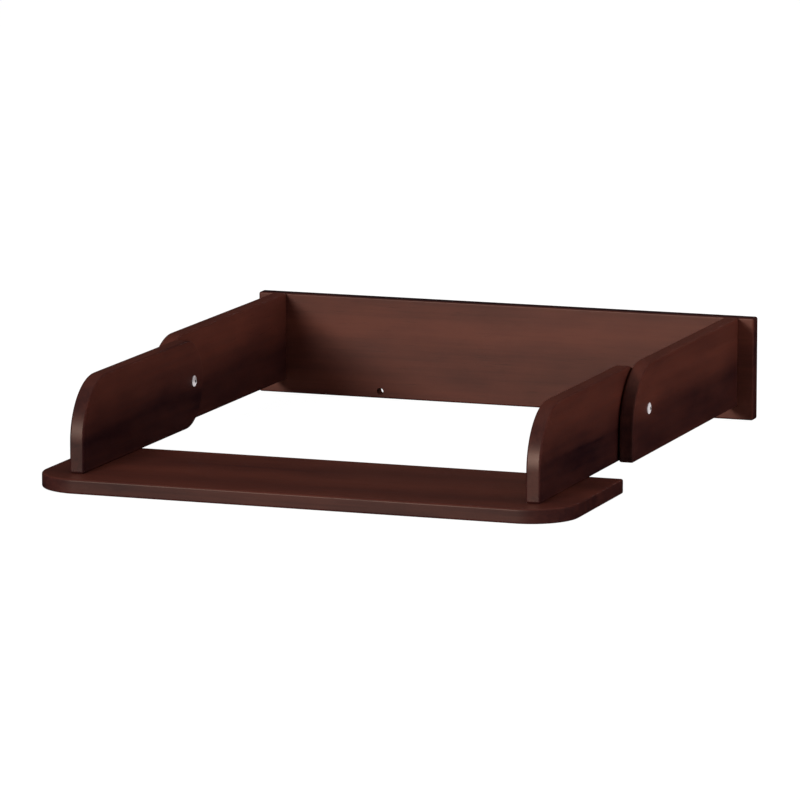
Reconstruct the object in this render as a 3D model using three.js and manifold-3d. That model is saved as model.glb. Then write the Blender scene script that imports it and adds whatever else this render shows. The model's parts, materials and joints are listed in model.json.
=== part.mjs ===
// A changing unit for a dresser top, in millimetres with +Z up and the front at -Y.
//
// The rear frame is a back panel with two rear sides. The front frame is a shelf with two front
// sides, and it folds up and back over the rear frame about one bolt on each side. The sides stand
// on the dresser top, and the shelf and the back panel's lower band lie before and behind its edge.
// The origin is on the floor under the middle of the outline, straight below the fold line.

import * as THREE from "three";
import { mergeVertices } from "three/addons/utils/BufferGeometryUtils.js";
import Module from "manifold-3d";

const wasm = await Module();
wasm.setup();

// Boards
const BOARD = 18; // thickness of every board
const WIDTH = 680; // back panel and shelf, end to end
const DEPTH = 792; // shelf's front edge to the back panel's rear face
const BARRIER = 115; // rear sides and back panel above the dresser top
const FRONT_STEP = 3; // how much lower than the rear sides the front sides are
const SIDE_INSET = 21; // back panel's ends beyond the rear sides
const SIDE_GAP = 2; // between a rear side and the front side within it
const REAR_REACH = 64; // rear sides in front of the fold line
const FRONT_TAIL = 32; // front sides behind the fold line
const FRONT_SETBACK = 37; // front sides behind the shelf's front edge
const SHELF_DEPTH = 230;
const REAR_CORNER = 80; // radius of a rear side's front top corner
const FRONT_CORNER = 75; // radius of a front side's front top corner
const SHELF_CORNER = 60; // radius of the shelf's front corners
const EDGE_ROUND = 2.5; // rounding of every long edge
const CORNER_SHARE = 1.2; // a plain corner's radius, as a share of the edge rounding
const FIXING_HOLE = 9; // holes in the back panel for the dresser's fixing screws
const FIXING_SHARE = 0.25; // fixing holes' distance from the middle, as a share of the width

// Fold line
const FOLD_CLEARANCE = 0.5; // between the folded shelf and the tops that it comes down on
const PIVOT_HEAD = 14; // diameter of a bolt's and a sleeve nut's head
const PIVOT_HEAD_HEIGHT = 2;
const PIVOT_HEAD_ROUND = 0.6;
const BOLT_SHANK = 6;
const BOLT_TIP = 0.8; // chamfer at a bolt's end
const BOLT_TIP_GAP = 1;
const SLEEVE = 9; // outer diameter of a sleeve nut's barrel
const SLEEVE_SOLID = 7; // closed length of a sleeve nut under its head
const SLEEVE_SHORT = 2; // barrel's end below the outer face
const WASHER = 18;
const SOCKET = 4; // across the flats of every hexagon socket
const PIVOT_SOCKET_DEPTH = 3;

// Connector screws and dowels
const SCREW_HEAD = 10;
const SCREW_SHANK = 7;
const SCREW_LENGTH = 50;
const SCREW_RIM = 0.8; // straight rim of a countersunk head
const SCREW_TIP = 1.5; // chamfer at a screw's end
const SCREW_RECESS = 0.4; // head below the board's face
const SCREW_SOCKET_DEPTH = 2.5;
const BACK_SCREW_EDGE = 25; // back screws from a rear side's top and bottom
const SHELF_SCREW_EDGE = 40; // shelf screws from the ends of a front side's seat
const DOWEL = 8;
const DOWEL_LENGTH = 35;
const DOWEL_COVER = 6; // wood left over a dowel's end in the thinner board
const DOWEL_CHAMFER = 0.8;
const DOWEL_FLUTE = 0.3;

const CLEARANCE = 0.3; // around whatever sits in a hole, and beside what turns
const OVERRUN = 5; // how far a cutter runs past the face that it cuts
const CORNER_STEPS = 3;
const CURVE_STEPS = 16;
const ROUND_STEPS = 2;
const TURN_STEPS = 24;
const FLUTES = 8;
const CLOSE = 1e-6; // points nearer than this are one point

// Places that follow from the sizes above
const floorZ = 0;
const deckZ = BOARD; // the dresser top, level with the shelf's top
const topZ = deckZ + BARRIER;
const frontTopZ = topZ - FRONT_STEP;
const foldZ = deckZ + (BARRIER + FOLD_CLEARANCE) / 2;
const foldY = 0;
const backY = DEPTH / 2;
const backFaceY = backY - BOARD;
const rearEndY = foldY - REAR_REACH;
const tailY = foldY + FRONT_TAIL;
const shelfFrontY = -DEPTH / 2;
const shelfBackY = shelfFrontY + SHELF_DEPTH;
const frontEndY = shelfFrontY + FRONT_SETBACK;
const rearOuterX = WIDTH / 2 - SIDE_INSET;
const rearInnerX = rearOuterX - BOARD;
const frontOuterX = rearInnerX - SIDE_GAP;
const frontInnerX = frontOuterX - BOARD;
const rearMiddleX = rearOuterX - BOARD / 2;
const frontMiddleX = frontOuterX - BOARD / 2;
const cornerRadius = EDGE_ROUND * CORNER_SHARE;
const sides = { left: -1, right: 1 };

const UP = new THREE.Vector3(0, 1, 0);

const stainedWood = { color: 0x3a1713, roughness: 0.42, metalness: 0 };
const plainWood = { color: 0xc79a63, roughness: 0.8, metalness: 0 };
const zincSteel = { color: 0xc9ccd0, roughness: 0.25, metalness: 1 };
const nylon = { color: 0x2a2422, roughness: 0.5, metalness: 0 };

// A closed three.js geometry as a manifold-3d solid.
function solidOf(geometry) {
  const bare = geometry.clone().deleteAttribute("normal").deleteAttribute("uv");
  const merged = mergeVertices(bare);
  const vertProperties = merged.attributes.position.array;
  const triVerts = new Uint32Array(merged.index.array);
  return new wasm.Manifold(new wasm.Mesh({ numProp: 3, vertProperties, triVerts }));
}

// A manifold-3d solid as a three.js geometry with flat faces.
function geometryOf(solid) {
  const mesh = solid.getMesh();
  const indexed = new THREE.BufferGeometry();
  indexed.setAttribute("position", new THREE.BufferAttribute(mesh.vertProperties, mesh.numProp));
  indexed.setIndex(new THREE.BufferAttribute(mesh.triVerts, 1));
  const flat = indexed.toNonIndexed();
  flat.computeVertexNormals();
  return flat;
}

// The geometry with every cutter taken out of it.
function cut(geometry, cutters) {
  const start = solidOf(geometry);
  return geometryOf(cutters.reduce((solid, cutter) => solid.subtract(solidOf(cutter)), start));
}

function piece(name, geometry, look) {
  const mesh = new THREE.Mesh(geometry, new THREE.MeshStandardMaterial(look));
  mesh.name = name;
  return mesh;
}

// A geometry made along +Y, turned so that +Y points along out, and moved to the point.
function placed(geometry, { point, out }) {
  const turn = new THREE.Quaternion().setFromUnitVectors(UP, out);
  return geometry.clone().applyQuaternion(turn).translate(point.x, point.y, point.z);
}

function rod(radius, low, high) {
  const bar = new THREE.CylinderGeometry(radius, radius, high - low, TURN_STEPS);
  return bar.translate(0, (high + low) / 2, 0);
}

function hexagonSocket(face, depth) {
  const radius = SOCKET / Math.sqrt(3);
  const bar = new THREE.CylinderGeometry(radius, radius, depth + OVERRUN, 6);
  return bar.translate(0, face - depth + (depth + OVERRUN) / 2, 0);
}

// A turned solid from points [radius, height], listed from its top down.
function turned(points) {
  const rising = points.map(([radius, height]) => new THREE.Vector2(radius, height)).reverse();
  return new THREE.LatheGeometry(rising, TURN_STEPS);
}

// A box between two corners.
function block(low, high) {
  const size = high.clone().sub(low);
  const middle = high.clone().add(low).divideScalar(2);
  const box = new THREE.BoxGeometry(size.x, size.y, size.z);
  return box.translate(middle.x, middle.y, middle.z);
}

// A closed outline from corners [u, v, radius], each rounded by an arc between its straight sides.
function outline(corners) {
  const points = [];
  corners.forEach(([u, v, radius], i) => {
    const [beforeU, beforeV] = corners.at(i - 1);
    const [afterU, afterV] = corners[(i + 1) % corners.length];
    const corner = new THREE.Vector2(u, v);
    const inward = new THREE.Vector2(beforeU - u, beforeV - v).normalize();
    const outward = new THREE.Vector2(afterU - u, afterV - v).normalize();
    const centre = corner.clone().addScaledVector(inward, radius).addScaledVector(outward, radius);
    const steps = radius > cornerRadius ? CURVE_STEPS : CORNER_STEPS;
    for (let k = 0; k <= steps; k += 1) {
      const angle = (k / steps) * (Math.PI / 2);
      points.push(
        centre
          .clone()
          .addScaledVector(outward, -radius * Math.cos(angle))
          .addScaledVector(inward, -radius * Math.sin(angle)),
      );
    }
  });
  return new THREE.Shape(points.filter((point, i) => point.distanceTo(points.at(i - 1)) > CLOSE));
}

// A board with rounded edges from its outline, standing on +Z from zero to the board's thickness.
function board(corners) {
  return new THREE.ExtrudeGeometry(outline(corners), {
    depth: BOARD - 2 * EDGE_ROUND,
    bevelThickness: EDGE_ROUND,
    bevelSize: EDGE_ROUND,
    bevelOffset: -EDGE_ROUND,
    bevelSegments: ROUND_STEPS,
  }).translate(0, 0, EDGE_ROUND);
}

// A board drawn in Y and Z, as thick as it is along X from the given face.
function uprightBoard(corners, lowX) {
  const axes = new THREE.Matrix4().makeBasis(
    new THREE.Vector3(0, 1, 0),
    new THREE.Vector3(0, 0, 1),
    new THREE.Vector3(1, 0, 0),
  );
  return board(corners).applyMatrix4(axes).translate(lowX, 0, 0);
}

// Where each fastener's seat is, and which way its head or its upper end points.
const lowScrewZ = deckZ + BACK_SCREW_EDGE;
const highScrewZ = topZ - BACK_SCREW_EDGE;
const seatFrontY = frontEndY + SHELF_SCREW_EDGE;
const seatRearY = shelfBackY - SHELF_SCREW_EDGE;

function site(x, y, z, outX, outY, outZ) {
  return { point: new THREE.Vector3(x, y, z), out: new THREE.Vector3(outX, outY, outZ) };
}

function pivotSite(sign) {
  return site(sign * rearOuterX, foldY, foldZ, sign, 0, 0);
}

function sleeveSite(sign) {
  return site(sign * (frontInnerX - CLEARANCE), foldY, foldZ, -sign, 0, 0);
}

function washerSite(sign) {
  return site(sign * rearInnerX, foldY, foldZ, -sign, 0, 0);
}

function backScrewSites(sign) {
  const y = backY - SCREW_RECESS;
  return {
    lower: site(sign * rearMiddleX, y, lowScrewZ, 0, 1, 0),
    upper: site(sign * rearMiddleX, y, highScrewZ, 0, 1, 0),
  };
}

function shelfScrewSites(sign) {
  const z = floorZ + SCREW_RECESS;
  return {
    front: site(sign * frontMiddleX, seatFrontY, z, 0, 0, -1),
    rear: site(sign * frontMiddleX, seatRearY, z, 0, 0, -1),
  };
}

function backDowelSite(sign) {
  return site(sign * rearMiddleX, backFaceY, (lowScrewZ + highScrewZ) / 2, 0, 1, 0);
}

function shelfDowelSite(sign) {
  return site(sign * frontMiddleX, (seatFrontY + seatRearY) / 2, deckZ, 0, 0, -1);
}

// Fasteners, each made along +Y with its seat or joint at zero.

function headOutline() {
  return [
    [0, PIVOT_HEAD_HEIGHT],
    [PIVOT_HEAD / 2 - PIVOT_HEAD_ROUND, PIVOT_HEAD_HEIGHT],
    [PIVOT_HEAD / 2, PIVOT_HEAD_HEIGHT - PIVOT_HEAD_ROUND],
    [PIVOT_HEAD / 2, 0],
  ];
}

const stack = 2 * BOARD + SIDE_GAP;

function pivotBolt() {
  const radius = BOLT_SHANK / 2;
  const end = -(stack - SLEEVE_SOLID - BOLT_TIP_GAP);
  const body = turned([
    ...headOutline(),
    [radius, 0],
    [radius, end + BOLT_TIP],
    [radius - BOLT_TIP, end],
    [0, end],
  ]);
  return cut(body, [hexagonSocket(PIVOT_HEAD_HEIGHT, PIVOT_SOCKET_DEPTH)]);
}

function pivotSleeve() {
  const bore = BOLT_SHANK / 2 + CLEARANCE;
  const end = -(stack - SLEEVE_SHORT);
  const body = turned([
    ...headOutline(),
    [SLEEVE / 2, 0],
    [SLEEVE / 2, end],
    [bore, end],
    [bore, -SLEEVE_SOLID],
    [0, -SLEEVE_SOLID],
  ]);
  return cut(body, [hexagonSocket(PIVOT_HEAD_HEIGHT, PIVOT_SOCKET_DEPTH)]);
}

function pivotWasher() {
  const inner = SLEEVE / 2 + CLEARANCE;
  const thickness = SIDE_GAP - CLEARANCE;
  return turned([
    [inner, thickness],
    [WASHER / 2, thickness],
    [WASHER / 2, 0],
    [inner, 0],
    [inner, thickness],
  ]);
}

// A countersunk screw's outline, or with grow and a high top the hole that it sits in.
function screwOutline(grow, top) {
  const head = SCREW_HEAD / 2 + grow;
  const shank = SCREW_SHANK / 2 + grow;
  const neck = -SCREW_RIM - (SCREW_HEAD - SCREW_SHANK) / 2;
  const end = -SCREW_LENGTH - grow;
  return [
    [0, top],
    [head, top],
    [head, -SCREW_RIM],
    [shank, neck],
    [shank, end + SCREW_TIP],
    [shank - SCREW_TIP, end],
    [0, end],
  ];
}

function connectorScrew() {
  return cut(turned(screwOutline(0, 0)), [hexagonSocket(0, SCREW_SOCKET_DEPTH)]);
}

function screwHole() {
  return turned(screwOutline(CLEARANCE, OVERRUN));
}

const dowelOut = BOARD - DOWEL_COVER;

// A fluted dowel, from its end in the thicker stretch of wood up to its end in the thin board.
function dowel() {
  const points = [];
  for (let k = 0; k < 2 * FLUTES; k += 1) {
    const angle = (k / FLUTES) * Math.PI;
    const radius = DOWEL / 2 - (k % 2 ? DOWEL_FLUTE : 0);
    points.push(new THREE.Vector2(radius * Math.cos(angle), radius * Math.sin(angle)));
  }
  const bar = new THREE.ExtrudeGeometry(new THREE.Shape(points), {
    depth: DOWEL_LENGTH - 2 * DOWEL_CHAMFER,
    bevelThickness: DOWEL_CHAMFER,
    bevelSize: DOWEL_CHAMFER,
    bevelOffset: -DOWEL_CHAMFER,
    bevelSegments: 1,
  });
  return bar.translate(0, 0, DOWEL_CHAMFER - dowelOut).rotateX(Math.PI / 2);
}

function dowelHole() {
  const low = dowelOut - DOWEL_LENGTH - CLEARANCE;
  return rod(DOWEL / 2 + CLEARANCE, low, dowelOut + CLEARANCE);
}

function pivotHole() {
  return rod(SLEEVE / 2 + CLEARANCE, -stack - OVERRUN, OVERRUN);
}

// Boards

function backPanel() {
  const half = WIDTH / 2;
  const corners = [
    [-half, floorZ, cornerRadius],
    [half, floorZ, cornerRadius],
    [half, topZ, cornerRadius],
    [-half, topZ, cornerRadius],
  ];
  const plate = board(corners).rotateX(Math.PI / 2).translate(0, backY, 0);
  const fixing = placed(
    rod(FIXING_HOLE / 2, -BOARD - OVERRUN, OVERRUN),
    site(WIDTH * FIXING_SHARE, backY, (floorZ + deckZ) / 2, 0, 1, 0),
  );
  const cutters = [fixing, fixing.clone().translate(-2 * WIDTH * FIXING_SHARE, 0, 0)];
  for (const sign of Object.values(sides)) {
    for (const seat of Object.values(backScrewSites(sign))) cutters.push(placed(screwHole(), seat));
    cutters.push(placed(dowelHole(), backDowelSite(sign)));
  }
  return cut(plate, cutters);
}

function rearSide(sign) {
  const radius = Math.min(REAR_CORNER, BARRIER - cornerRadius);
  const past = backFaceY + OVERRUN;
  const corners = [
    [rearEndY, deckZ, cornerRadius],
    [past, deckZ, cornerRadius],
    [past, topZ, cornerRadius],
    [rearEndY, topZ, radius],
  ];
  const lowX = sign > 0 ? rearInnerX : -rearOuterX;
  const end = block(
    new THREE.Vector3(lowX - OVERRUN, backFaceY, deckZ - OVERRUN),
    new THREE.Vector3(lowX + BOARD + OVERRUN, past + OVERRUN, topZ + OVERRUN),
  );
  const cutters = [end, placed(pivotHole(), pivotSite(sign))];
  for (const seat of Object.values(backScrewSites(sign))) cutters.push(placed(screwHole(), seat));
  cutters.push(placed(dowelHole(), backDowelSite(sign)));
  return cut(uprightBoard(corners, lowX), cutters);
}

function frontSide(sign) {
  const height = frontTopZ - deckZ;
  const radius = Math.min(FRONT_CORNER, height - cornerRadius);
  const corners = [
    [frontEndY, deckZ, cornerRadius],
    [tailY, deckZ, height / 2],
    [tailY, frontTopZ, height / 2],
    [frontEndY, frontTopZ, radius],
  ];
  const lowX = sign > 0 ? frontInnerX : -frontOuterX;
  const cutters = [placed(pivotHole(), pivotSite(sign))];
  for (const seat of Object.values(shelfScrewSites(sign))) cutters.push(placed(screwHole(), seat));
  cutters.push(placed(dowelHole(), shelfDowelSite(sign)));
  return cut(uprightBoard(corners, lowX), cutters);
}

function shelf() {
  const half = WIDTH / 2;
  const corners = [
    [-half, shelfFrontY, SHELF_CORNER],
    [half, shelfFrontY, SHELF_CORNER],
    [half, shelfBackY, cornerRadius],
    [-half, shelfBackY, cornerRadius],
  ];
  const cutters = [];
  for (const sign of Object.values(sides)) {
    for (const seat of Object.values(shelfScrewSites(sign))) cutters.push(placed(screwHole(), seat));
    cutters.push(placed(dowelHole(), shelfDowelSite(sign)));
  }
  return cut(board(corners), cutters);
}

// The whole unit

const rearFrame = new THREE.Group();
const frontFrame = new THREE.Group();

rearFrame.add(piece("back_panel", backPanel(), stainedWood));
frontFrame.add(piece("shelf", shelf(), stainedWood));

for (const [side, sign] of Object.entries(sides)) {
  rearFrame.add(piece(`rear_side_${side}`, rearSide(sign), stainedWood));
  for (const [level, seat] of Object.entries(backScrewSites(sign))) {
    rearFrame.add(piece(`back_screw_${side}_${level}`, placed(connectorScrew(), seat), zincSteel));
  }
  rearFrame.add(piece(`back_dowel_${side}`, placed(dowel(), backDowelSite(sign)), plainWood));
  rearFrame.add(piece(`pivot_bolt_${side}`, placed(pivotBolt(), pivotSite(sign)), zincSteel));
  rearFrame.add(piece(`pivot_sleeve_${side}`, placed(pivotSleeve(), sleeveSite(sign)), zincSteel));
  rearFrame.add(piece(`pivot_washer_${side}`, placed(pivotWasher(), washerSite(sign)), nylon));

  frontFrame.add(piece(`front_side_${side}`, frontSide(sign), stainedWood));
  for (const [end, seat] of Object.entries(shelfScrewSites(sign))) {
    frontFrame.add(piece(`shelf_screw_${side}_${end}`, placed(connectorScrew(), seat), zincSteel));
  }
  frontFrame.add(piece(`shelf_dowel_${side}`, placed(dowel(), shelfDowelSite(sign)), plainWood));
}

const changer = new THREE.Group();
changer.add(rearFrame, frontFrame);

export default changer;
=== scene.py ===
"""The looks of a changing unit for a dresser top, in metres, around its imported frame.

Every board, bolt, nut, washer, screw and dowel is a skin of rings worked out with numpy. Boards get
their bores by boolean cuts. The finishes are stained wood under satin lacquer, plated steel, zinc,
nylon and bare beech.
"""

import json
import math

import bpy
import numpy as np
from mathutils import Matrix, Vector

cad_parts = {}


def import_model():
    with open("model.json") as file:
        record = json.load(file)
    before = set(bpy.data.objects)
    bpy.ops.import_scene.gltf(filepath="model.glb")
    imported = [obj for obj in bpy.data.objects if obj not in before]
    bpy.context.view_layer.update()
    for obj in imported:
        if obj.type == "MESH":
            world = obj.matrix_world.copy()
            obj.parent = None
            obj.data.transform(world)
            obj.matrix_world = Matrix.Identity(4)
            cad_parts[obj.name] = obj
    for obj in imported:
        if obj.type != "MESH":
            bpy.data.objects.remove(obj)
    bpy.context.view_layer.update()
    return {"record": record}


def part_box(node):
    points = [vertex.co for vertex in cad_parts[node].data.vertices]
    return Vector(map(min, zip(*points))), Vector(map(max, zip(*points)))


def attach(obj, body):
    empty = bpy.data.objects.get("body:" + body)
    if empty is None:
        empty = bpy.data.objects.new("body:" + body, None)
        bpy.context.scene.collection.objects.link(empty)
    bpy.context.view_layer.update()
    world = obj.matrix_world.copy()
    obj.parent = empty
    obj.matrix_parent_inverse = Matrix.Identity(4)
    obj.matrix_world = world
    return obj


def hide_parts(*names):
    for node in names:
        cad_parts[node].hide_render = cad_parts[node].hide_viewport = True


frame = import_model()

MM = 0.001

# Boards
EDGE_ROUND = 2.5 * MM
CORNER = 3 * MM  # a board's plain corners
REAR_CORNER = 80 * MM  # a rear side's front top corner
FRONT_CORNER = 75 * MM  # a front side's front top corner
SHELF_CORNER = 60 * MM  # the shelf's front corners
ARC_POINTS = 41  # of each corner
ROUND_POINTS = 9  # of each edge's quarter arc
FIXING_HOLE = 9 * MM
MOUTH = 0.4 * MM  # how far a bore's lacquered mouth is rounded
MOUTH_POINTS = 5

# Pivot bolts, sleeve nuts and washers
HEAD = 14 * MM
HEAD_HEIGHT = 2 * MM
HEAD_RIM = 0.6 * MM  # height of a domed head at its rim
HEAD_EDGE = 0.35 * MM
HEAD_EDGE_POINTS = 5
HEAD_RINGS = 12  # rings over the dome
HEAD_LAND = 1.35  # width of the dome's inner edge, in parts of the socket's width
PIVOT_SOCKET = 4 * MM  # across the flats
PIVOT_SOCKET_DEPTH = 1.7 * MM
BOLT_CREST = 6 * MM
BOLT_PITCH = 1 * MM
BOLT_THREAD_DEPTH = 0.55 * MM
BOLT_RINGS = 6  # rings for each turn of the thread
BOLT_NECK = 12 * MM  # plain shank under a bolt's head
BOLT_TIP = 0.25 * MM
SLEEVE = 9 * MM
SLEEVE_SOLID = 7 * MM  # closed length under a sleeve nut's head
SLEEVE_BORE = 6.6 * MM
SLEEVE_CHAMFER = 0.4 * MM
WASHER_BORE = 9.6 * MM
WASHER_ROUND = 0.3 * MM
WASHER_POINTS = 4

# Hexagon sockets
SOCKET_CHAMFER = 0.15 * MM
SOCKET_MOUTH = 1.06  # width at the chamfer's top, in parts of the width across the flats
SOCKET_DRILL = 0.9  # width of the drill's cone in the floor, in the same parts
DRILL_TIP = 0.3  # radius of the cone's blunt end, in parts of the drill's radius
DRILL_FALL = 0.6  # depth of the cone for its radius

# Connector screws
SCREW_HEAD = 10 * MM
SCREW_CREST = 7 * MM
SCREW_RIM = 0.8 * MM
SCREW_EDGE = 0.1 * MM
SCREW_LAND = 1.3  # width of the head's flat at its inner edge, in parts of the socket's width
SCREW_NECK = 9 * MM  # plain shank under the cone
SCREW_PITCH = 3 * MM
SCREW_THREAD_DEPTH = 1.1 * MM
SCREW_RINGS = 10  # rings for each turn of the thread
SCREW_TIP = 1.5 * MM
SCREW_RECESS = 0.4 * MM  # how deep the head lies in the board
SCREW_SOCKET = 4 * MM
SCREW_SOCKET_DEPTH = 2.5 * MM

# Dowels
DOWEL = 8 * MM
DOWEL_FLUTES = 16
DOWEL_FLUTE = 0.25 * MM
DOWEL_CHAMFER = 0.8 * MM

CLEARANCE = 0.3 * MM
OVERRUN = 5 * MM  # how far a cutter reaches past its board
ROUND = 96  # points round a turned piece
COINCIDENT = 1e-7  # points nearer to each other than this are one
SHARP_ANGLE = math.radians(32)  # a sharper edge stays a crease

X, Y, Z = np.eye(3)

# Which way each side lies from the middle
SIDES = {"left": -1, "right": 1}


# Skins


def skin(name, rings, looped=False):
    """A closed mesh through rings of points, shaped (rings, points round, 3).

    Ring i and ring i + 1 are joined by four-sided faces. The first and the last ring are each closed
    by one flat face, or joined to each other where the rings loop. The points run counter-clockwise
    as seen from where the rings are heading, so that the faces point outwards.
    """
    count, around = rings.shape[:2]
    i = np.arange(count if looped else count - 1)[:, None]
    j = np.arange(around)[None, :]
    near, far = i * around, (i + 1) % count * around
    beside = (j + 1) % around
    quads = np.stack([near + j, near + beside, far + beside, far + j], -1).reshape(-1, 4)
    faces = quads.tolist()
    if not looped:
        first = np.arange(around)
        faces += [first[::-1].tolist(), (first + (count - 1) * around).tolist()]
    mesh = bpy.data.meshes.new(name)
    mesh.from_pydata(rings.reshape(-1, 3).tolist(), [], faces)
    made = bpy.data.objects.new(name, mesh)
    bpy.context.collection.objects.link(made)
    return made


def quarter(points):
    """Angles evenly from 0 to 90 degrees."""
    return np.linspace(0, np.pi / 2, points)


def modified(made, kind, **settings):
    """The object with one modifier applied to its mesh."""
    modifier = made.modifiers.new(kind.lower(), kind)
    for key, value in settings.items():
        setattr(modifier, key, value)
    depsgraph = bpy.context.evaluated_depsgraph_get()
    mesh = bpy.data.meshes.new_from_object(made.evaluated_get(depsgraph))
    made.modifiers.clear()
    made.data = mesh
    return made


def smoothed(made):
    """Welds coincident points, and shades the mesh smooth but for its creases, led by its flats."""
    modified(made, "WELD", merge_threshold=COINCIDENT)
    made.data.shade_smooth()
    made.data.set_sharp_from_angle(angle=SHARP_ANGLE)
    return modified(made, "WEIGHTED_NORMAL", keep_sharp=True)


def drilled(made, cutters):
    """The mesh without the cutters, which are used up."""
    for cutter in cutters:
        modified(cutter, "WELD", merge_threshold=COINCIDENT)
        modified(made, "BOOLEAN", operation="DIFFERENCE", solver="EXACT", object=cutter)
        bpy.data.objects.remove(cutter)
    return made


# Boards


def rounded_rectangle(low, high, radii):
    """Outline points centre_k + r_k (cos a, sin a) and their outward normals (cos a, sin a).

    Corner k turns from 180 + 90 k to 270 + 90 k degrees, counter-clockwise from the lowest corner.
    """
    turn = np.pi + np.pi / 2 * np.arange(4)[:, None] + quarter(ARC_POINTS)
    normals = np.stack([np.cos(turn), np.sin(turn)], -1)
    (u0, v0), (u1, v1) = low, high
    corners = np.array([[u0, v0], [u1, v0], [u1, v1], [u0, v1]])
    inward = np.array([[1, 1], [-1, 1], [-1, -1], [1, -1]])
    radii = np.array(radii)[:, None]
    points = (corners + inward * radii)[:, None] + radii[:, None] * normals
    return points.reshape(-1, 2), normals.reshape(-1, 2)


def edge_profile(thickness):
    """Inset and height up a board's edge: two quarter arcs of the edge rounding and a straight wall.

    The lower arc is (R (1 - sin a), R (1 - cos a)) for a from 0 to 90 degrees, and the upper one is
    its mirror image.
    """
    a = quarter(ROUND_POINTS)
    inset = EDGE_ROUND * (1 - np.sin(a))
    height = EDGE_ROUND * (1 - np.cos(a))
    return np.concatenate([inset, inset[::-1]]), np.concatenate([height, thickness - height[::-1]])


def board(node, directions, radii, bores):
    """A board in place of a node: its rounded outline carried up its edge profile, then drilled.

    The directions (u, v, w) are those of its length, its width and its thickness.
    """
    u, v, w = directions
    low, high = (np.array(corner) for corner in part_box(node))
    if w.sum() < 0:
        start, thickness = high @ abs(w), (high - low) @ abs(w)
    else:
        start, thickness = low @ w, (high - low) @ w
    points, normals = rounded_rectangle((low @ u, low @ v), (high @ u, high @ v), radii)
    inset, height = edge_profile(thickness)
    flat = points[None] - inset[:, None, None] * normals[None]
    rings = flat[..., :1] * u + flat[..., 1:] * v + abs(w) * start + height[:, None, None] * w
    made = drilled(skin(node + "_board", rings), bores)
    return smoothed(made)


# Turned pieces


def stand(node, out):
    """The matrix that carries local +Z to out, and the local origin to the node's end on that side."""
    low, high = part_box(node)
    middle, half = (low + high) / 2, (high - low) / 2
    out = Vector(out)
    end = middle + out * half.dot(Vector(map(abs, out)))
    return Matrix.Translation(end) @ out.to_track_quat("Z", "Y").to_matrix().to_4x4()


def span(node, out):
    """The node's length along out."""
    low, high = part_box(node)
    return (high - low).dot(Vector(map(abs, out)))


def six_sided(angle, flats):
    """Distance from the axis to a hexagon: half its width over cos of the angle from a flat."""
    return flats / 2 / np.cos((angle + np.pi / 6) % (np.pi / 3) - np.pi / 6)


def turned(rows, wave=None):
    """Rings about +Z from rows (radius, height, share), in their order along the skin.

    The radius is (1 - share) of a circle and share of a hexagon whose width is twice the row's
    radius. A wave is a function of angle and height that is added to the radius.
    """
    angle = np.arange(ROUND) / ROUND * 2 * np.pi
    radius, height, share = (np.array(column)[:, None] for column in zip(*rows))
    reach = radius * (1 - share) + six_sided(angle, 2 * radius) * share
    if wave is not None:
        reach = reach + wave(angle[None, :], height)
    return np.stack(np.broadcast_arrays(reach * np.cos(angle), reach * np.sin(angle), height), -1)


def placed(name, rings, where, looped=False):
    """A skin whose rings are carried by a matrix, with its object at the origin."""
    made = skin(name, rings, looped)
    made.data.transform(where)
    return made


def thread(pitch, depth, low, high):
    """A wave of depth times a triangle of (height / pitch - turn), faded out at both ends."""

    def wave(angle, height):
        phase = (height / pitch - angle / (2 * np.pi)) % 1
        triangle = np.abs(2 * phase - 1)
        fade = np.clip((height - low) / pitch, 0, 1) * np.clip((high - height) / pitch, 0, 1)
        return -depth * triangle * fade

    return wave


def socket_rows(mouth, depth):
    """A hexagon socket from its chamfered mouth to its floor, with the cone of a drill point."""
    drill = mouth * SOCKET_DRILL
    return [
        (mouth * SOCKET_MOUTH, 0, 1),
        (mouth, -SOCKET_CHAMFER, 1),
        (mouth, -depth, 1),
        (drill, -depth, 0),
        (drill * DRILL_TIP, -depth - drill * (1 - DRILL_TIP) * DRILL_FALL, 0),
    ]


def head_rows():
    """A domed head from its seat to the bottom of its hexagon socket.

    The dome falls from the socket to the rim by the square of the radius.
    """
    reach = HEAD / 2
    mouth = PIVOT_SOCKET / 2
    fall = HEAD_RIM - HEAD_HEIGHT
    rim = [
        (reach - HEAD_EDGE * (1 - math.cos(a)), fall - HEAD_EDGE * (1 - math.sin(a)), 0)
        for a in quarter(HEAD_EDGE_POINTS)
    ]
    dome = [
        (r, fall * (r**2 - mouth**2) / (reach**2 - mouth**2), 0)
        for r in np.linspace(reach - HEAD_EDGE, mouth * HEAD_LAND, HEAD_RINGS)
    ]
    return [(reach, -HEAD_HEIGHT, 0), *rim, *dome, *socket_rows(mouth, PIVOT_SOCKET_DEPTH)]


def pivot_bolt(side):
    """A bolt through the rear side: a domed head with a hexagon socket over a threaded shank."""
    node = f"pivot_bolt_{side}"
    out = X * SIDES[side]
    end = -span(node, out)
    shank = BOLT_CREST / 2
    root = shank - BOLT_THREAD_DEPTH
    top = -HEAD_HEIGHT - BOLT_NECK
    low = end + BOLT_PITCH
    rows = [
        (root - BOLT_TIP, end, 0),
        (root, end + BOLT_TIP, 0),
        *[(shank, h, 0) for h in np.arange(low, top, BOLT_PITCH / BOLT_RINGS)],
        (shank, top, 0),
        (shank, -HEAD_HEIGHT, 0),
        *head_rows(),
    ]
    wave = thread(BOLT_PITCH, BOLT_THREAD_DEPTH, low, top)
    made = placed(f"bolt_{side}", turned(rows, wave), stand(node, out))
    finish = plated_steel(f"bolt_{side}", node, out)
    return dressed(smoothed(made), node, "rear_frame", "plated_steel", finish)


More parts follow.
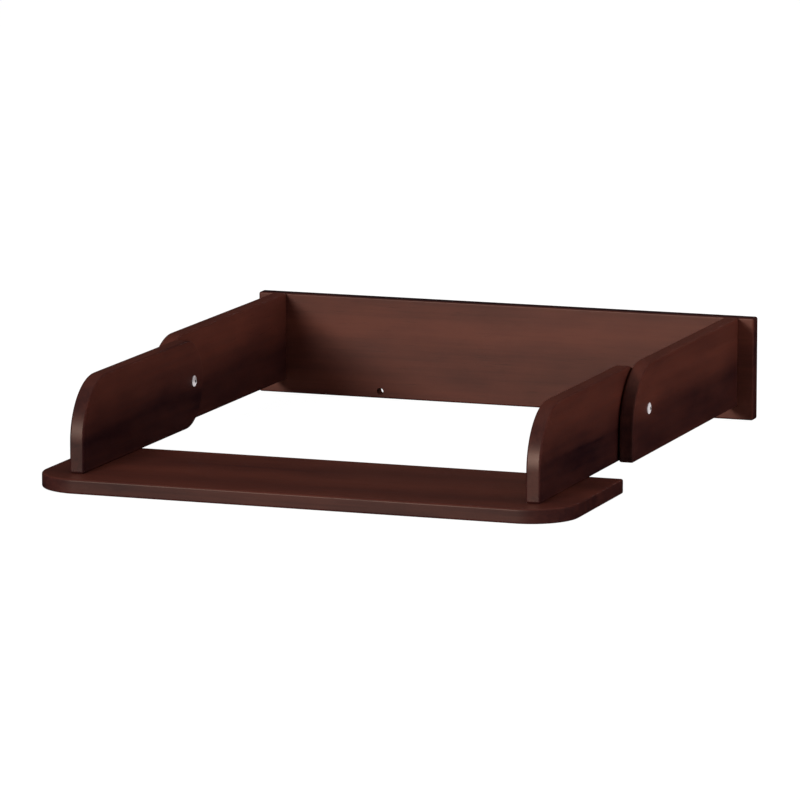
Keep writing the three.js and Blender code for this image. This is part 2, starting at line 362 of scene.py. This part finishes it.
def pivot_sleeve(side):
    """The nut inside the front side: a domed head on a barrel with a blind bore."""
    node = f"pivot_sleeve_{side}"
    out = -X * SIDES[side]
    end = -span(node, out)
    bore, barrel = SLEEVE_BORE / 2, SLEEVE / 2
    rows = [
        (bore, -HEAD_HEIGHT - SLEEVE_SOLID, 0),
        (bore, end + SLEEVE_CHAMFER, 0),
        (bore + SLEEVE_CHAMFER, end, 0),
        (barrel - SLEEVE_CHAMFER, end, 0),
        (barrel, end + SLEEVE_CHAMFER, 0),
        (barrel, -HEAD_HEIGHT, 0),
        *head_rows(),
    ]
    made = placed(f"sleeve_{side}", turned(rows), stand(node, out))
    finish = plated_steel(f"sleeve_{side}", node, out)
    return dressed(smoothed(made), node, "rear_frame", "plated_steel", finish)


def pivot_washer(side):
    """A flat ring with rounded edges, between the rear and the front side."""
    node = f"pivot_washer_{side}"
    out = -X * SIDES[side]
    low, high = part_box(node)
    thickness, reach = span(node, out), (high - low).z / 2
    a = quarter(WASHER_POINTS)
    inset, rise = WASHER_ROUND * (1 - np.sin(a)), WASHER_ROUND * (1 - np.cos(a))
    outer = list(zip(reach - inset, rise - thickness))
    inner = list(zip(WASHER_BORE / 2 + inset, -rise))
    rows = [
        *[(r, h, 0) for r, h in outer],
        *[(r, -thickness - h, 0) for r, h in reversed(outer)],
        *[(r, h, 0) for r, h in inner],
        *[(r, -thickness - h, 0) for r, h in reversed(inner)],
    ]
    made = placed(f"washer_{side}", turned(rows), stand(node, out), looped=True)
    return dressed(smoothed(made), node, "rear_frame", "nylon", nylon())


def connector_screw(node, name, out, body):
    """A countersunk screw with a hexagon socket, a plain neck and a coarse wood thread."""
    end = -span(node, out)
    head, shank, mouth = SCREW_HEAD / 2, SCREW_CREST / 2, SCREW_SOCKET / 2
    cone = -SCREW_RIM - (head - shank)
    top = cone - SCREW_NECK
    low = end + SCREW_TIP
    step = SCREW_PITCH / SCREW_RINGS
    root = shank - SCREW_THREAD_DEPTH
    rows = [
        (root - SCREW_TIP / 2, end, 0),
        (root, low, 0),
        *[(shank, h, 0) for h in np.arange(low + step, top, step)],
        (shank, top, 0),
        (shank, cone, 0),
        (head, -SCREW_RIM, 0),
        (head, -SCREW_EDGE, 0),
        (head - SCREW_EDGE, 0, 0),
        (mouth * SCREW_LAND, 0, 0),
        *socket_rows(mouth, SCREW_SOCKET_DEPTH),
    ]
    wave = thread(SCREW_PITCH, SCREW_THREAD_DEPTH, low, top)
    made = placed(name, turned(rows, wave), stand(node, out))
    return dressed(smoothed(made), node, body, "screw_steel", zinc(name, node, out))


def dowel(node, name, out, body):
    """A fluted beech peg, whose radius dips by a flute's depth times cos^2 (n a / 2) for n flutes."""
    length = span(node, out)
    reach = DOWEL / 2

    def flutes(angle, height):
        return -DOWEL_FLUTE * np.cos(angle * DOWEL_FLUTES / 2) ** 2 + 0 * height

    rows = [
        (reach - DOWEL_CHAMFER, -length, 0),
        (reach, DOWEL_CHAMFER - length, 0),
        (reach, -DOWEL_CHAMFER, 0),
        (reach - DOWEL_CHAMFER, 0, 0),
    ]
    made = placed(name, turned(rows, flutes), stand(node, out))
    return dressed(smoothed(made), node, body, "beech", beech(name, node, out))


# Bores


def bore(node, out, rows):
    """A cutter turned from rows (radius, height), stood where the node's piece stands."""
    return placed(f"bore_{node}", turned([(r, h, 0) for r, h in rows]), stand(node, out))


def mouthed(radius, low, high):
    """Rows of a through bore whose mouths, at heights low and high, flare by a quarter arc."""
    a = quarter(MOUTH_POINTS)
    flare = list(zip(radius + MOUTH * (1 - np.sin(a)), MOUTH * (1 - np.cos(a))))
    lower = [(radius + MOUTH, low - OVERRUN), *[(r, low + h) for r, h in flare]]
    upper = [*[(r, high - h) for r, h in reversed(flare)], (radius + MOUTH, high + OVERRUN)]
    return [*lower, *upper]


def screw_bore(node, out):
    """The countersunk bore for a connector screw, with a bevelled mouth."""
    head, shank = SCREW_HEAD / 2 + CLEARANCE, SCREW_CREST / 2 + CLEARANCE
    cone = -SCREW_RIM - (SCREW_HEAD - SCREW_CREST) / 2
    rows = [
        (shank, -span(node, out) - CLEARANCE),
        (shank, cone),
        (head, -SCREW_RIM),
        (head, SCREW_RECESS - MOUTH),
        (head + MOUTH, SCREW_RECESS),
        (head + MOUTH, OVERRUN),
    ]
    return bore(node, out, rows)


def dowel_bore(node, out):
    """The blind bore for a dowel."""
    reach = DOWEL / 2 + CLEARANCE
    return bore(node, out, [(reach, -span(node, out) - CLEARANCE), (reach, CLEARANCE)])


def pivot_bore(side, panel):
    """The bore for a sleeve nut through a rear or a front side."""
    out = X * SIDES[side]
    low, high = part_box(panel)
    start, end = sorted((low.x * out[0], high.x * out[0]))
    bolt = max(v.x * out[0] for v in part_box(f"pivot_bolt_{side}"))
    rows = mouthed(SLEEVE / 2 + CLEARANCE, start - bolt, end - bolt)
    return bore(f"pivot_bolt_{side}", out, rows)


def fixing_bore(opening, panel):
    """The bore for a fixing screw, in the middle of the record's opening."""
    low, high = (Vector(corner) for corner in opening["box_m"])
    near, far = (corner.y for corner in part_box(panel))
    rows = [(r, h, 0) for r, h in mouthed(FIXING_HOLE / 2, near, far)]
    middle = (low + high) / 2
    where = Matrix.Translation((middle.x, 0, middle.z)) @ Matrix.Rotation(-math.pi / 2, 4, "X")
    return placed("bore_fixing", turned(rows), where)


# Finishes


class Wire:
    """A shader socket in an expression, where + - * / and ** add Math nodes."""

    def __init__(self, wiring, socket):
        self.wiring = wiring
        self.socket = socket

    def __add__(self, other):
        return self.wiring.maths("ADD", self, other)

    def __radd__(self, other):
        return self.wiring.maths("ADD", other, self)

    def __sub__(self, other):
        return self.wiring.maths("SUBTRACT", self, other)

    def __rsub__(self, other):
        return self.wiring.maths("SUBTRACT", other, self)

    def __mul__(self, other):
        return self.wiring.maths("MULTIPLY", self, other)

    def __rmul__(self, other):
        return self.wiring.maths("MULTIPLY", other, self)

    def __truediv__(self, other):
        return self.wiring.maths("DIVIDE", self, other)

    def __pow__(self, other):
        return self.wiring.maths("POWER", self, other)


# A Mix node's sockets for colours, which share their names with those for numbers and vectors
MIX_SHARE, MIX_LOW, MIX_HIGH = 0, 6, 7
MIX_COLOUR = 2


class Wiring:
    """The nodes of a finish or of the world."""

    def __init__(self, owner):
        owner.use_nodes = True
        self.owner = owner
        self.tree = owner.node_tree
        self.tree.nodes.clear()

    def node(self, kind, settings=None, sockets=None, out=0):
        """Adds a node, sets its settings and then its sockets, and gives one of its outputs."""
        made = self.tree.nodes.new(kind)
        for key, value in (settings or {}).items():
            if key == "stops":
                set_stops(made.color_ramp, value)
            else:
                setattr(made, key, value)
        for key, value in (sockets or {}).items():
            if isinstance(value, Wire):
                self.tree.links.new(value.socket, made.inputs[key])
            else:
                made.inputs[key].default_value = value
        return Wire(self, made.outputs[out])

    def maths(self, operation, first, second):
        """A Math node on two numbers or links."""
        return self.node("ShaderNodeMath", {"operation": operation}, {0: first, 1: second})

    def ray(self, kind):
        """One where the ray is a Camera, Glossy or Transmission ray, and zero elsewhere."""
        return self.node("ShaderNodeLightPath", out=f"Is {kind} Ray")

    def mixed(self, share, low, high):
        """A colour between two others."""
        settings = {"data_type": "RGBA", "clamp_factor": True}
        sockets = {MIX_SHARE: share, MIX_LOW: low, MIX_HIGH: high}
        return self.node("ShaderNodeMix", settings, sockets, out=MIX_COLOUR)

    def stretched(self, place, scale):
        """A place with each of its coordinates times that of the scale."""
        return self.node("ShaderNodeVectorMath", {"operation": "MULTIPLY"}, {0: place, 1: scale})

    def noise(self, place, scale, seed, detail=2, roughness=0.5):
        """Noise about 0.5, of a place stretched by a scale, with its own seed."""
        sockets = {
            "Vector": self.stretched(place, scale),
            "W": seed,
            "Scale": 1.0,
            "Detail": detail,
            "Roughness": roughness,
        }
        return self.node("ShaderNodeTexNoise", {"noise_dimensions": "4D"}, sockets)

    def smooth(self, value, low, high):
        """Zero below low and one above high, with an S between them."""
        sockets = {"Value": value, "From Min": low, "From Max": high}
        return self.node("ShaderNodeMapRange", {"interpolation_type": "SMOOTHSTEP"}, sockets)

    def place(self, origin, turn):
        """Object coordinates from an origin, in directions that are the columns of a turn."""
        sockets = {
            "Vector": self.node("ShaderNodeTexCoord", out="Object"),
            "Location": origin,
            "Rotation": turn.to_euler(),
        }
        return self.node("ShaderNodeMapping", {"vector_type": "TEXTURE"}, sockets)

    def facing(self, direction):
        """The cosine between the surface's normal and a direction."""
        sockets = {0: self.node("ShaderNodeTexCoord", out="Normal"), 1: tuple(direction)}
        return self.node("ShaderNodeVectorMath", {"operation": "DOT_PRODUCT"}, sockets, out="Value")

    def bump(self, height, distance, under=None):
        """A normal tilted by a height, on top of the normal under it."""
        sockets = {"Height": height, "Distance": distance}
        if under is not None:
            sockets["Normal"] = under
        return self.node("ShaderNodeBump", {}, sockets)

    def end(self, kind, surface):
        """Wires the surface to an output node, and gives the finish or the world."""
        output = self.tree.nodes.new(kind)
        self.tree.links.new(surface.socket, output.inputs["Surface"])
        return self.owner

    def principled(self, sockets):
        surface = self.node("ShaderNodeBsdfPrincipled", {}, sockets)
        return self.end("ShaderNodeOutputMaterial", surface)


def set_stops(ramp, stops):
    """Gives a ramp its stops, as pairs of a place and a grey value."""
    while len(ramp.elements) < len(stops):
        ramp.elements.new(1)
    for element, (place, value) in zip(ramp.elements, stops):
        element.position = place
        element.color = (value, value, value, 1)


def turn_to(*columns):
    """The rotation whose columns are the pattern's directions in the row frame."""
    return Matrix(np.array(columns).T.tolist())


# Stained wood, as linear colours
STAIN_DARK = (0.0182, 0.0052, 0.0072, 1)
STAIN_LIGHT = (0.1190, 0.0294, 0.0188, 1)
STAIN_PORE = (0.0080, 0.0030, 0.0030, 1)
HOLE_WALL = (0.0900, 0.0240, 0.0140, 1)
HOLE_BARE = 0.1 * MM  # how far round a fixing hole the wood is quite bare
PORE_SHARE = 0.4  # how far a pore turns the stain to its own colour
LACQUER_TINT = (1.0, 0.68, 0.54, 1)
LACQUER_ROUGHNESS = 0.43
LACQUER_SPECULAR = 0.42
GLOSS_CHANGE = 0.10  # how much streaks and pores change the roughness
GRAIN_RELIEF = 0.05 * MM
LACQUER_RELIEF = 0.06 * MM
STREAK_RISE = 0.35
PORE_FALL = -0.6

# Patterns in the wood, in waves per metre along the grain, across the board and through it
DRIFT = (5, 9, 5)
CLOUDS = (14, 38, 30)
BANDS = (4, 95, 60)
STREAKS = (6, 300, 300)
PORES = (30, 1500, 1500)
RIPPLE = (90, 90, 90)
PORE_START, PORE_FULL = 0.62, 0.72  # of the noise that makes the pores

# How far the patterns shift the tone, or with the drift, the place that it is taken from
DRIFT_SHIFT = 0.40
CLOUD_SHIFT = 0.60
BAND_SHIFT = 0.46
STREAK_SHIFT = 0.38

# Each board's seed, to which each of its patterns adds a number of its own
SEEDS = {
    "back": 1.7,
    "shelf": 52.6,
    "rear_left": 4.3,
    "rear_right": 20.3,
    "front_left": 23.9,
    "front_right": 39.9,
}

# Tone over each board's width, from its lower or front edge: place, then tone
TONES = {
    "back": [(0, 0.74), (0.12, 0.80), (0.25, 0.66), (0.50, 0.60), (0.74, 0.98), (1, 0.66)],
    "shelf": [(0, 0.92), (0.22, 0.62), (0.46, 0.98), (0.70, 0.60), (1, 0.90)],
    "rear_left": [(0, 0.38), (0.38, 0.22), (0.56, 0.54), (0.78, 0.84), (1, 0.78)],
    "rear_right": [(0, 0.31), (0.38, 0.27), (0.56, 0.69), (0.78, 0.88), (1, 0.76)],
    "front_left": [(0, 0.25), (0.38, 0.12), (0.56, 0.42), (0.78, 0.70), (1, 0.72)],
    "front_right": [(0, 0.28), (0.38, 0.16), (0.56, 0.56), (0.78, 0.82), (1, 0.78)],
}

# Tones of each board's narrow faces: at the ends of its grain, along its edges, and the power of the
# cosine to the direction across the board by which one turns into the other round a corner
RIMS = {
    "back": (0.22, 0.08, 2),
    "shelf": (0.28, 0.27, 2),
    "rear_left": (0.22, 0.86, 2),
    "rear_right": (0.18, 0.86, 2),
    "front_left": (0.19, 0.80, 6),
    "front_right": (0.33, 0.86, 6),
}


def near_hole(wiring, hole):
    """One within a fixing hole and its mouth, by the square of the distance from its axis.

    The holes' axes run along Y and mirror each other, so that x and its mirror image count as one.
    """
    x, _, z = hole
    place = wiring.node("ShaderNodeTexCoord", out="Object")
    along, up = (wiring.node("ShaderNodeSeparateXYZ", {}, {"Vector": place}, out=n) for n in "XZ")
    along = wiring.maths("MAXIMUM", along, 0 - along)
    distance = (along - abs(x)) ** 2 + (up - z) ** 2
    reach = FIXING_HOLE / 2
    return 1 - wiring.smooth(distance, (reach + HOLE_BARE) ** 2, (reach + MOUTH) ** 2)


def stained_wood(name, node, along, across, hole=None):
    """Dark stain on a board: broad tones across it, clouds, bands and streaks along it, and pores.

    A narrow face has its own tone, by 1 - the square of the cosine between its normal and that of
    the board's flat faces. The wall of a fixing hole is matt.
    """
    seed = SEEDS[name]
    wiring = Wiring(bpy.data.materials.new("stained_wood_" + name))
    low, high = (np.array(corner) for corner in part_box(node))
    width = (high - low) @ across
    through = np.cross(along, across)
    place = wiring.place(tuple(low), turn_to(along, across, through))
    split = wiring.node("ShaderNodeSeparateXYZ", {}, {"Vector": place}, out="Y")

    drift = wiring.noise(place, DRIFT, seed)
    share = split / width + (drift - 0.5) * DRIFT_SHIFT
    tone = wiring.node("ShaderNodeValToRGB", {"stops": TONES[name]}, {"Fac": share})
    end, edge, power = RIMS[name]
    flat = wiring.facing(through) ** 2
    rim = end + wiring.facing(across) ** power * (edge - end)
    tone = tone * flat + rim * (1 - flat)
    clouds = wiring.noise(place, CLOUDS, seed + 3)
    bands = wiring.noise(place, BANDS, seed + 5)
    streaks = wiring.noise(place, STREAKS, seed + 7, detail=3, roughness=0.6)
    pores = wiring.smooth(wiring.noise(place, PORES, seed + 11), PORE_START, PORE_FULL)

    depth = tone + (clouds - 0.5) * CLOUD_SHIFT
    depth = depth + (bands - 0.5) * BAND_SHIFT + (streaks - 0.5) * STREAK_SHIFT
    colour = wiring.mixed(depth, STAIN_DARK, STAIN_LIGHT)
    colour = wiring.mixed(pores * PORE_SHARE, colour, STAIN_PORE)

    ripple = wiring.noise(place, RIPPLE, seed + 17, detail=1)
    relief = wiring.bump(streaks * STREAK_RISE + pores * PORE_FALL, GRAIN_RELIEF)
    relief = wiring.bump(ripple, LACQUER_RELIEF, relief)
    gloss = LACQUER_ROUGHNESS + (streaks - 0.5) * GLOSS_CHANGE + pores * GLOSS_CHANGE
    if hole is not None:
        bare = near_hole(wiring, hole)
        colour = wiring.mixed(bare, colour, HOLE_WALL)
        gloss = gloss + bare * (1 - LACQUER_ROUGHNESS)
    return wiring.principled(
        {
            "Base Color": colour,
            "Roughness": gloss,
            "Specular IOR Level": LACQUER_SPECULAR,
            "Specular Tint": LACQUER_TINT,
            "Normal": relief,
        }
    )


def radial(wiring, node, out):
    """A turned piece's place with its axis along Z, and the distance from that axis."""
    low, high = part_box(node)
    turn = Vector(out).to_track_quat("Z", "Y").to_matrix()
    place = wiring.place(tuple((low + high) / 2), turn)
    flat = wiring.stretched(place, (1, 1, 0))
    reach = wiring.node("ShaderNodeVectorMath", {"operation": "LENGTH"}, {0: flat}, out="Value")
    return place, reach


# Metals, nylon and beech, as linear colours, with their patterns in waves per metre
PLATE_DARK = (0.48, 0.44, 0.455, 1)
PLATE_LIGHT = (0.80, 0.74, 0.76, 1)
# the dark grey painted in a head's hexagon socket as the shade inside it
PLATE_SOCKET_SHADE = (0.28, 0.255, 0.25, 1)
PLATE_RINGS = 9000
PLATE_HAZE = (500, 500, 500)
PLATE_RELIEF = 0.012 * MM
ZINC_DARK = (0.38, 0.40, 0.42, 1)
ZINC_LIGHT = (0.60, 0.61, 0.62, 1)
ZINC_MOTTLE = (900, 900, 900)
ZINC_RELIEF = 0.01 * MM
NYLON_DARK = (0.010, 0.009, 0.008, 1)
NYLON_LIGHT = (0.020, 0.017, 0.016, 1)
NYLON_SKIN = (2500, 2500, 2500)
NYLON_RELIEF = 0.02 * MM
BEECH_DARK = (0.50, 0.33, 0.17, 1)
BEECH_LIGHT = (0.66, 0.47, 0.27, 1)
BEECH_FLECK = (0.26, 0.14, 0.06, 1)
BEECH_FIBRES = (1400, 1400, 60)
BEECH_FLECKS = (2600, 2600, 260)
BEECH_RELIEF = 0.03 * MM


def plated_steel(name, node, out):
    """Satin plate over turned steel: tool-mark rings, pale haze, painted shade in the socket."""
    wiring = Wiring(bpy.data.materials.new("plated_steel_" + name))
    place, reach = radial(wiring, node, out)
    rings = wiring.node(
        "ShaderNodeTexNoise",
        {"noise_dimensions": "1D"},
        {"W": reach, "Scale": PLATE_RINGS, "Detail": 2, "Roughness": 0.6},
    )
    haze = wiring.noise(place, PLATE_HAZE, 2, detail=3)
    plate = wiring.mixed(haze * 0.6 + rings * 0.4, PLATE_DARK, PLATE_LIGHT)
    # painted shade: the plate turns to that dark grey inside the socket and its chamfer
    face = wiring.smooth(reach, PIVOT_SOCKET * 0.50, PIVOT_SOCKET * 0.60)
    return wiring.principled(
        {
            "Base Color": wiring.mixed(face, PLATE_SOCKET_SHADE, plate),
            "Metallic": 0.90 + haze * 0.10,
            "Roughness": 0.30 + rings * 0.10 + haze * 0.08,
            "Normal": wiring.bump(rings, PLATE_RELIEF),
        }
    )


def zinc(name, node, out):
    """Zinc plate with a slight bluish mottle."""
    wiring = Wiring(bpy.data.materials.new("zinc_" + name))
    place, _ = radial(wiring, node, out)
    mottle = wiring.noise(place, ZINC_MOTTLE, 5, detail=3, roughness=0.6)
    return wiring.principled(
        {
            "Base Color": wiring.mixed(mottle, ZINC_DARK, ZINC_LIGHT),
            "Metallic": 0.85 + mottle * 0.15,
            "Roughness": 0.34 + mottle * 0.16,
            "Normal": wiring.bump(mottle, ZINC_RELIEF),
        }
    )


def nylon():
    """Dark moulded nylon with a fine matt skin."""
    wiring = Wiring(bpy.data.materials.new("nylon"))
    place = wiring.place((0, 0, 0), Matrix.Identity(3))
    grit = wiring.noise(place, NYLON_SKIN, 1, detail=1)
    return wiring.principled(
        {
            "Base Color": wiring.mixed(grit, NYLON_DARK, NYLON_LIGHT),
            "Roughness": 0.50 + grit * 0.12,
            "Normal": wiring.bump(grit, NYLON_RELIEF),
        }
    )


def beech(name, node, out):
    """Bare beech: pale, with short dark flecks along the peg."""
    wiring = Wiring(bpy.data.materials.new("beech_" + name))
    place, _ = radial(wiring, node, out)
    fibres = wiring.noise(place, BEECH_FIBRES, 4, detail=3)
    flecks = wiring.smooth(wiring.noise(place, BEECH_FLECKS, 9), 0.60, 0.68)
    colour = wiring.mixed(fibres, BEECH_DARK, BEECH_LIGHT)
    return wiring.principled(
        {
            "Base Color": wiring.mixed(flecks * 0.6, colour, BEECH_FLECK),
            "Roughness": 0.72 + fibres * 0.12,
            "Normal": wiring.bump(fibres, BEECH_RELIEF),
        }
    )


# The pieces that mirror the white studio, which the real boards' lacquer hardly does
mirrors = bpy.data.collections.new("mirrors")


def dressed(made, node, body, slot, material):
    """The piece in place of its node, riding on its body, with its finish."""
    made.data.materials.clear()
    made.data.materials.append(material)
    if slot.endswith("steel"):
        mirrors.objects.link(made)
    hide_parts(node)
    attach(made, body)
    return made


# The rear frame


def back_panel():
    """The board across the back, drilled for screws and dowels and for fixing to the dresser."""
    node = "back_panel"
    openings = frame["record"]["physics"]["openings"]
    bores = [fixing_bore(o, node) for o in openings if o["name"].startswith("fixing_hole")]
    for side in SIDES:
        bores += [screw_bore(f"back_screw_{side}_{level}", Y) for level in ("lower", "upper")]
        bores.append(dowel_bore(f"back_dowel_{side}", Y))
    made = board(node, (X, Z, -Y), [CORNER] * 4, bores)
    low, high = (Vector(corner) for corner in openings[-1]["box_m"])
    finish = stained_wood("back", node, X, Z, hole=(low + high) / 2)
    return dressed(made, node, "rear_frame", "stained_wood", finish)


def rear_side(side):
    """A board that stands on the dresser, with one large round corner at its top front."""
    node = f"rear_side_{side}"
    bores = [pivot_bore(side, node), dowel_bore(f"back_dowel_{side}", Y)]
    bores += [screw_bore(f"back_screw_{side}_{level}", Y) for level in ("lower", "upper")]
    made = board(node, (Y, Z, X), [CORNER, CORNER, CORNER, REAR_CORNER], bores)
    finish = stained_wood(f"rear_{side}", node, Y, Z)
    return dressed(made, node, "rear_frame", "stained_wood", finish)


# The front frame


def front_side(side):
    """A board inside the rear side, with a half-round tail behind the bolt."""
    node = f"front_side_{side}"
    low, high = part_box(node)
    tail = (high.z - low.z) / 2
    bores = [pivot_bore(side, node), dowel_bore(f"shelf_dowel_{side}", -Z)]
    bores += [screw_bore(f"shelf_screw_{side}_{end}", -Z) for end in ("front", "rear")]
    made = board(node, (Y, Z, X), [CORNER, tail, tail, FRONT_CORNER], bores)
    finish = stained_wood(f"front_{side}", node, Y, Z)
    return dressed(made, node, "front_frame", "stained_wood", finish)


def shelf():
    """The board under the front sides, with two large round corners in front."""
    node = "shelf"
    bores = []
    for side in SIDES:
        bores += [screw_bore(f"shelf_screw_{side}_{end}", -Z) for end in ("front", "rear")]
        bores.append(dowel_bore(f"shelf_dowel_{side}", -Z))
    made = board(node, (X, Y, Z), [SHELF_CORNER, SHELF_CORNER, CORNER, CORNER], bores)
    finish = stained_wood("shelf", node, X, Y)
    return dressed(made, node, "front_frame", "stained_wood", finish)


def fasteners(side):
    """The bolt, sleeve nut, washer, screws and dowels of one side."""
    pivot_bolt(side)
    pivot_sleeve(side)
    pivot_washer(side)
    for level in ("lower", "upper"):
        connector_screw(f"back_screw_{side}_{level}", f"screw_back_{side}_{level}", Y, "rear_frame")
    for end in ("front", "rear"):
        connector_screw(f"shelf_screw_{side}_{end}", f"screw_shelf_{side}_{end}", -Z, "front_frame")
    dowel(f"back_dowel_{side}", f"dowel_back_{side}", Y, "rear_frame")
    dowel(f"shelf_dowel_{side}", f"dowel_shelf_{side}", -Z, "front_frame")


# The studio

CAMERA_AZIMUTH = 19.88
CAMERA_ELEVATION = 9.61
CAMERA_TARGET = Vector((-7.09, 4.79, 66.5)) * MM
CAMERA_DISTANCE = 7468.5 * MM
SENSOR = 36  # millimetres
FOCAL_LENGTH = 270.16  # millimetres on that sensor
NEAREST = 0.1  # what is nearer than this to the camera isn't seen
BLACK = (0, 0, 0, 1)
WHITE = (1, 1, 1, 1)

FLOOR_SIZE = 60
FLOOR_DROP = 0.2 * MM
FLOOR_WHITE = 0.965  # the white that the camera sees the floor glow with
FLOOR_SHADED = 0.17  # how much of the floor's light and shade the camera sees on top of that
FLOOR_COLOUR = (0.8, 0.8, 0.8, 1)
FLOOR_TOUCH = 1 * MM  # shorter rays pass the floor, so that light reaches what stands on it

DOME_RADIUS = 28
DOME_FOOT, DOME_TOP = -0.04, 1.5  # angles from the horizon
DOME_RINGS = 14
CEILING_SHADE = 0.6  # how much darker the metal sees the ceiling than the horizon

AMBIENT = 0.26  # the sky's light on all that is matt
HORIZON_GLOSS = 0.01  # the white that the lacquer mirrors at the horizon
SKY_GLOSS = 0.30  # the white that it mirrors overhead
SKY_FADE = 8  # the power of the height by which one turns into the other

# Lamps: azimuth, elevation, distance, width, height, radiance, and whether gloss mirrors them
LAMPS = {
    "key": (-14.5, 12.5, 6.0, 1.4, 0.7, 68.0, True),
    "fill": (90, 12, 2.5, 1.5, 1.0, 4.1, False),
    "top": (0, 80, 2.4, 2.4, 2.4, 0.45, False),
    "rear": (172, 16, 2.5, 1.5, 1.0, 4.6, False),
}
LAMP_AIM = Vector((0, 0, 70)) * MM


def pointed(azimuth, elevation):
    """The unit vector towards an azimuth and elevation in degrees, with azimuth 0 in front, at -Y."""
    a, e = math.radians(azimuth), math.radians(elevation)
    return Vector((math.sin(a) * math.cos(e), -math.cos(a) * math.cos(e), math.sin(e)))


def camera():
    back = pointed(CAMERA_AZIMUTH, CAMERA_ELEVATION)
    data = bpy.data.cameras.new("camera")
    data.sensor_width = SENSOR
    data.lens = FOCAL_LENGTH
    data.clip_start, data.clip_end = NEAREST, 2 * FLOOR_SIZE
    made = bpy.data.objects.new("camera", data)
    made.location = CAMERA_TARGET + back * CAMERA_DISTANCE
    made.rotation_euler = back.to_track_quat("Z", "Y").to_euler()
    bpy.context.collection.objects.link(made)
    bpy.context.scene.camera = made


def softbox(name, azimuth, elevation, distance, width, height, radiance, glossy):
    """A rectangular lamp that faces the object, with the power for a radiance: pi * area * radiance."""
    data = bpy.data.lights.new(name, "AREA")
    data.shape = "RECTANGLE"
    data.size, data.size_y = width, height
    data.energy = math.pi * width * height * radiance
    made = bpy.data.objects.new(name, data)
    out = pointed(azimuth, elevation)
    made.location = LAMP_AIM + out * distance
    made.rotation_euler = out.to_track_quat("Z", "Y").to_euler()
    made.visible_camera = False
    made.visible_glossy = glossy
    bpy.context.collection.objects.link(made)


def glowing(made, material):
    """Stages a backdrop whose glow reaches the camera and the mirrors, and no other piece."""
    material.cycles.emission_sampling = "NONE"
    made.data.materials.append(material)
    made.light_linking.receiver_collection = mirrors


def dome():
    """A clear dome that glows for gloss, less so overhead: rings of R cos a at the height R sin a.

    It starts a little below the floor, so that its flat base never shows over it.
    """
    a = np.linspace(DOME_FOOT, DOME_TOP, DOME_RINGS)
    rows = [(r, h, 0) for r, h in zip(DOME_RADIUS * np.cos(a), DOME_RADIUS * np.sin(a))]
    made = skin("dome", turned(rows))
    wiring = Wiring(bpy.data.materials.new("dome"))
    place = wiring.node("ShaderNodeTexCoord", out="Object")
    height = wiring.node("ShaderNodeSeparateXYZ", {}, {"Vector": place}, out="Z")
    strength = wiring.ray("Glossy") * (1 - height * (CEILING_SHADE / DOME_RADIUS))
    white = wiring.node("ShaderNodeEmission", {}, {"Strength": strength})
    clear = wiring.node("ShaderNodeBsdfTransparent")
    surface = wiring.node("ShaderNodeAddShader", {}, {0: white, 1: clear})
    glowing(made, wiring.end("ShaderNodeOutputMaterial", surface))


def floor():
    """A pale floor, white to the camera but for the object's shadow, and clear from below."""
    half = FLOOR_SIZE / 2
    corners = np.array([[-half, -half], [half, -half], [half, half], [-half, half]])
    points = np.column_stack([corners, np.full(4, -FLOOR_DROP)])
    mesh = bpy.data.meshes.new("floor")
    mesh.from_pydata(points.tolist(), [], [[0, 1, 2, 3]])
    made = bpy.data.objects.new("floor", mesh)
    bpy.context.collection.objects.link(made)

    wiring = Wiring(bpy.data.materials.new("floor"))
    camera_ray, glossy, glass = (wiring.ray(kind) for kind in ("Camera", "Glossy", "Transmission"))
    strength = camera_ray * FLOOR_WHITE + glossy + glass
    white = wiring.node("ShaderNodeEmission", {}, {"Strength": strength})
    share = 1 - camera_ray * (1 - FLOOR_SHADED) - glossy - glass
    colour = wiring.mixed(share, BLACK, FLOOR_COLOUR)
    plain = wiring.node("ShaderNodeBsdfDiffuse", {}, {"Color": colour})
    seen = wiring.node("ShaderNodeAddShader", {}, {0: white, 1: plain})
    below = wiring.node("ShaderNodeNewGeometry", out="Backfacing")
    length = wiring.node("ShaderNodeLightPath", out="Ray Length")
    touching = wiring.maths("LESS_THAN", length, FLOOR_TOUCH)
    hidden = wiring.maths("MAXIMUM", below, touching)
    clear = wiring.node("ShaderNodeBsdfTransparent")
    surface = wiring.node("ShaderNodeMixShader", {}, {0: hidden, 1: seen, 2: clear})
    glowing(made, wiring.end("ShaderNodeOutputMaterial", surface))


def world():
    """White to the camera and to glass, dim to gloss and dimmer at the horizon, and else a grey."""
    wiring = Wiring(bpy.data.worlds.new("studio"))
    camera_ray, glossy, glass = (wiring.ray(kind) for kind in ("Camera", "Glossy", "Transmission"))
    toward = wiring.node("ShaderNodeTexCoord", out="Generated")
    height = wiring.node("ShaderNodeSeparateXYZ", {}, {"Vector": toward}, out="Z")
    sky = HORIZON_GLOSS + (SKY_GLOSS - HORIZON_GLOSS) * height**SKY_FADE
    rest = 1 - camera_ray - glossy - glass
    strength = camera_ray + glass + glossy * sky + rest * AMBIENT
    background = wiring.node("ShaderNodeBackground", {}, {"Color": WHITE, "Strength": strength})
    bpy.context.scene.world = wiring.end("ShaderNodeOutputWorld", background)


camera()
back_panel()
shelf()
for side in SIDES:
    rear_side(side)
    front_side(side)
    fasteners(side)

world()
dome()
floor()
for name, lamp in LAMPS.items():
    softbox(name, *lamp)

bpy.context.scene.view_settings.view_transform = "Standard"
